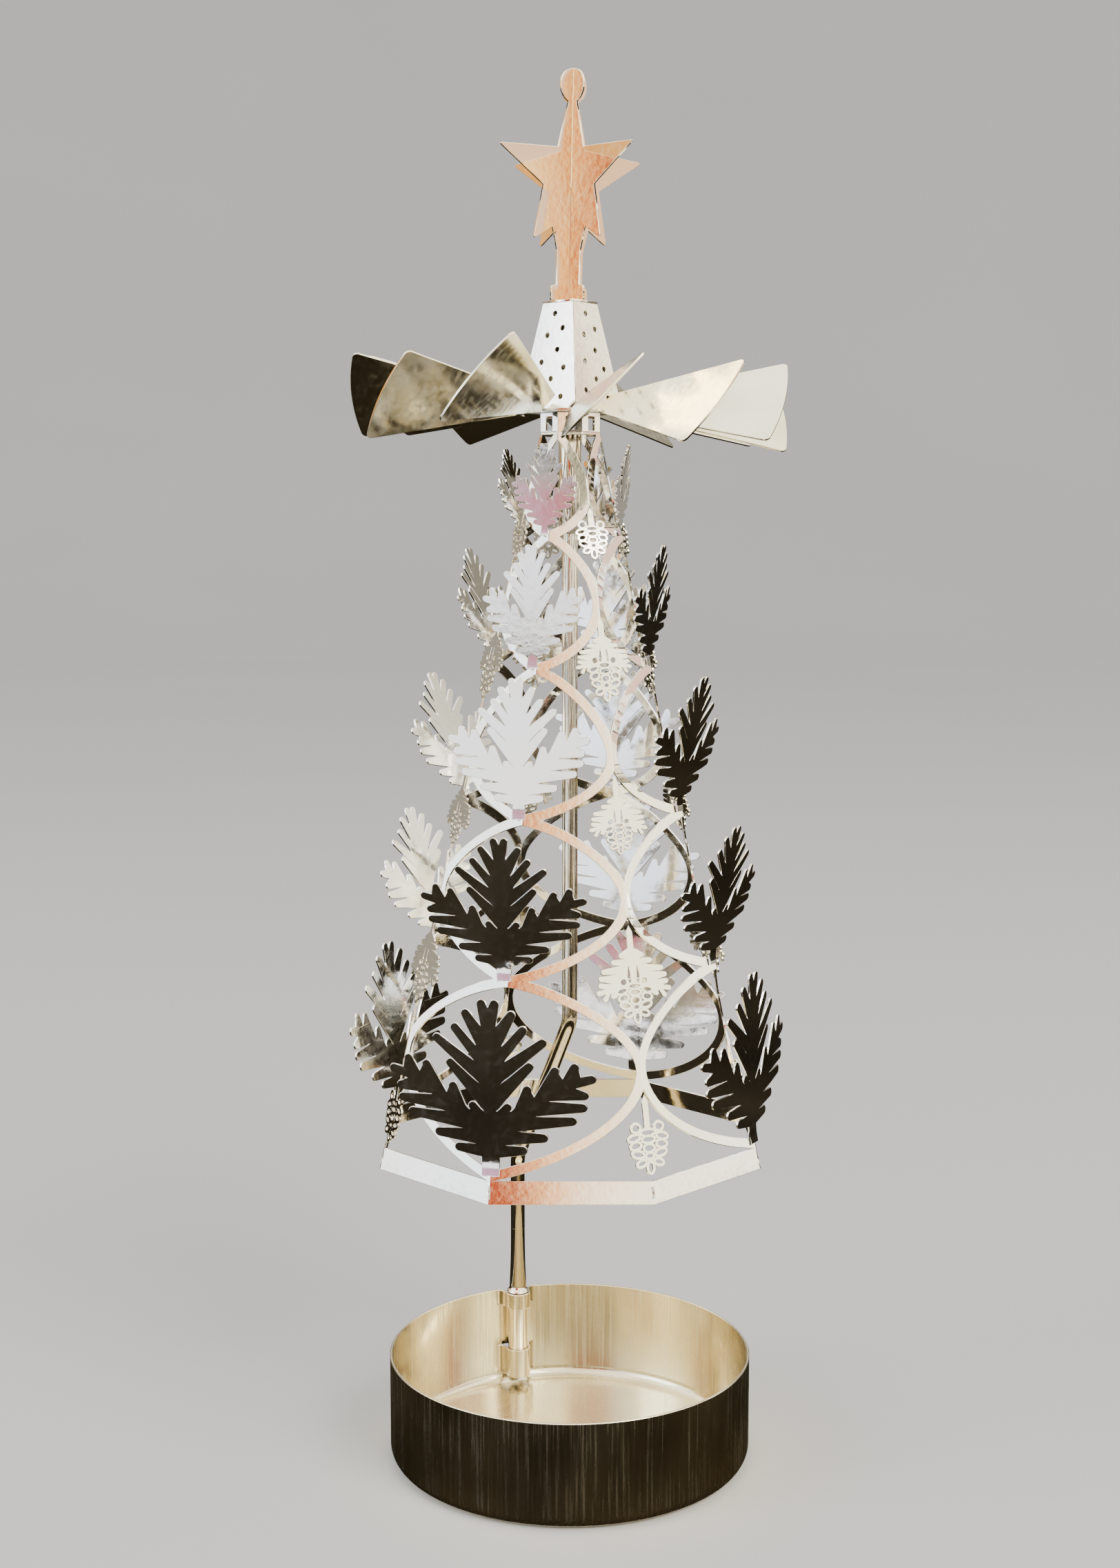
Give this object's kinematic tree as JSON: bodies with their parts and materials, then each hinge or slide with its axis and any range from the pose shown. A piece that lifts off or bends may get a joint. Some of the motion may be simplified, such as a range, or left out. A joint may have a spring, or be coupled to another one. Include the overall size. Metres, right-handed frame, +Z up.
{
  "type": "rotary candle holder",
  "caption": "Candle cup with a bent plug-in stem and a needle-borne sheet-metal fir tree rotor with fan blades, perforated cap and star.",
  "frame": {"origin": "middle of the candle cup's underside", "axes": "+Z up along the rotor's axis, the viewer looks along +Y with +X to the right"},
  "size_m": [0.0539, 0.0498, 0.161],
  "materials": {
    "cup_sheet": "bright drawn sheet with a warm tint",
    "stem_wire": "bright plated wire",
    "needle_steel": "ground steel point",
    "pivot_brass": "pressed brass",
    "lattice_sheet": "bright plated sheet",
    "sprig_sheet": "bright plated sheet",
    "blade_sheet": "bright plated sheet with hand marks",
    "cap_sheet": "bright plated sheet",
    "star_sheet": "bright plated sheet"
  },
  "bodies": {
    "base": {"candle_cup": "cup_sheet"},
    "stem": {"stem_plug": "stem_wire", "stem_rod": "stem_wire", "stem_sleeve": "stem_wire", "needle": "needle_steel"},
    "pivot": {"pivot_cup": "pivot_brass"},
    "rotor": {"tree_panel_1": "lattice_sheet", "tree_panel_2": "lattice_sheet", "tree_panel_3": "lattice_sheet", "tree_panel_4": "lattice_sheet", "tree_panel_5": "lattice_sheet", "tree_panel_6": "lattice_sheet", "tree_panel_7": "lattice_sheet", "tree_panel_8": "lattice_sheet", "sprig_ring_1": "sprig_sheet", "sprig_ring_2": "sprig_sheet", "sprig_ring_3": "sprig_sheet", "sprig_ring_4": "sprig_sheet", "sprig_ring_5": "sprig_sheet", "pine_cone_ring_1": "lattice_sheet", "pine_cone_ring_2": "lattice_sheet", "pine_cone_ring_3": "lattice_sheet", "pine_cone_ring_4": "lattice_sheet", "pine_cone_ring_5": "lattice_sheet", "tree_collar": "lattice_sheet", "fan_hub": "lattice_sheet", "fan_blade_1": "blade_sheet", "fan_blade_2": "blade_sheet", "fan_blade_3": "blade_sheet", "fan_blade_4": "blade_sheet", "fan_blade_5": "blade_sheet", "fan_blade_6": "blade_sheet", "fan_blade_7": "blade_sheet", "fan_blade_8": "blade_sheet", "fan_blade_9": "blade_sheet", "fan_blade_10": "blade_sheet", "fan_blade_11": "blade_sheet", "fan_blade_12": "blade_sheet", "cap_panel_1": "cap_sheet", "cap_panel_2": "cap_sheet", "cap_panel_3": "cap_sheet", "cap_panel_4": "cap_sheet", "cap_top": "cap_sheet", "star_sheet_1": "star_sheet", "star_sheet_2": "star_sheet"}
  },
  "joints": [
    {"name": "stem_lift", "type": "slide", "parent": "base", "child": "stem", "axis": [0, 0, 1], "range_m": [0, 0.014]},
    {"name": "rotor_lift", "type": "slide", "parent": "stem", "child": "pivot", "axis": [0, 0, 1], "range_m": [0, 0.09]},
    {"name": "rotor_spin", "type": "hinge", "parent": "pivot", "child": "rotor", "pos_m": [0, 0, 0.12322], "axis": [0, 0, 1], "continuous": true}
  ]
}
